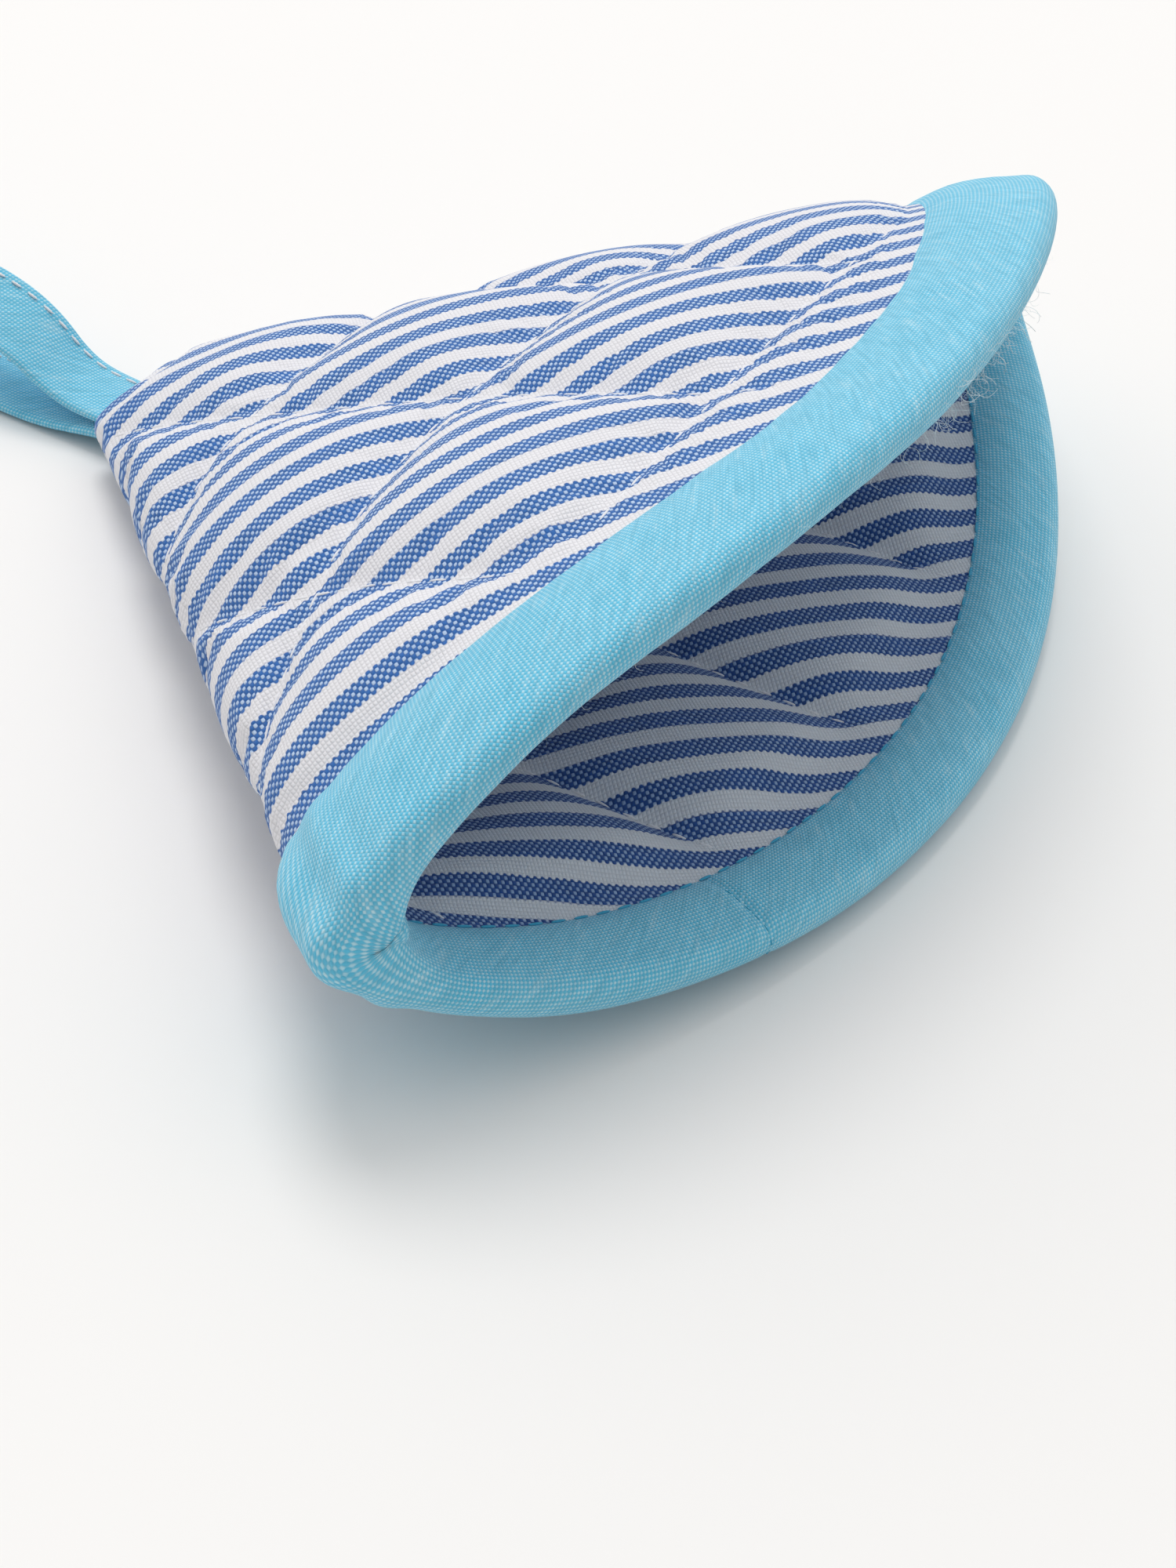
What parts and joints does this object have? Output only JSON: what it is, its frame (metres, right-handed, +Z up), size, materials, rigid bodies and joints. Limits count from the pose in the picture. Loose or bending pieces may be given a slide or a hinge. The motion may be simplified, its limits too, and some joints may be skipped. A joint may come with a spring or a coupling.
{
  "type": "oven mitt",
  "caption": "Quilted pinch mitt: folded fan-shaped pocket with a tape-bound open mouth and a strap loop at its blunt point.",
  "frame": {"origin": "on the flat underside, below the middle of the lower panel", "axes": "+X from the blunt point towards the mouth, +Y towards the seamed side, +Z up"},
  "size_m": [0.1813, 0.1792, 0.0566],
  "materials": {
    "striped_canvas": "plain weave, royal blue and white stripes",
    "striped_lining": "plain weave, blue and white stripes",
    "wadding": "needled cotton wadding",
    "chambray": "turquoise chambray with white flecks",
    "blue_thread": "spun sewing thread",
    "white_thread": "spun sewing thread"
  },
  "bodies": {
    "lower_half": {"mouth_tape_lower": "chambray", "tape_stitching_lower": "blue_thread", "tape_join_seam": "blue_thread", "cover_lower": "striped_canvas", "wadding_lower": "wadding", "lining_lower": "striped_lining", "quilting_thread_lower": "white_thread", "side_seam_allowance": "wadding", "side_seam_thread": "white_thread", "cover_apex": "striped_canvas", "apex_seam_allowance": "wadding", "loop_ends": "chambray", "mouth_tape_near_corner": "chambray", "mouth_tape_far_corner": "chambray", "tape_stitching_near_fold": "blue_thread", "tape_stitching_far_side": "blue_thread", "cover_near_fold": "striped_canvas", "cover_far_side": "striped_canvas", "wadding_near_fold": "wadding", "wadding_far_side": "wadding", "lining_near_fold": "striped_lining", "lining_far_side": "striped_lining"},
    "upper_half": {"mouth_tape_upper": "chambray", "tape_stitching_upper": "blue_thread", "cover_upper": "striped_canvas", "wadding_upper": "wadding", "lining_upper": "striped_lining", "quilting_thread_upper": "white_thread"},
    "hanging_loop": {"loop_strap": "chambray", "loop_edge_stitching": "white_thread"}
  },
  "joints": [
    {"name": "mouth_hinge", "type": "hinge", "parent": "lower_half", "child": "upper_half", "pos_m": [-0.0624, 0, 0.0071], "axis": [0, -1, 0], "range_deg": [-9, 18], "deforming": ["mouth_tape_near_corner", "mouth_tape_far_corner", "tape_stitching_near_fold", "tape_stitching_far_side", "cover_near_fold", "cover_far_side", "wadding_near_fold", "wadding_far_side", "lining_near_fold", "lining_far_side"]},
    {"name": "loop_swing", "type": "hinge", "parent": "lower_half", "child": "hanging_loop", "pos_m": [-0.0678, 0, 0.0037], "axis": [0, 1, 0], "range_deg": [-60, 50]}
  ]
}
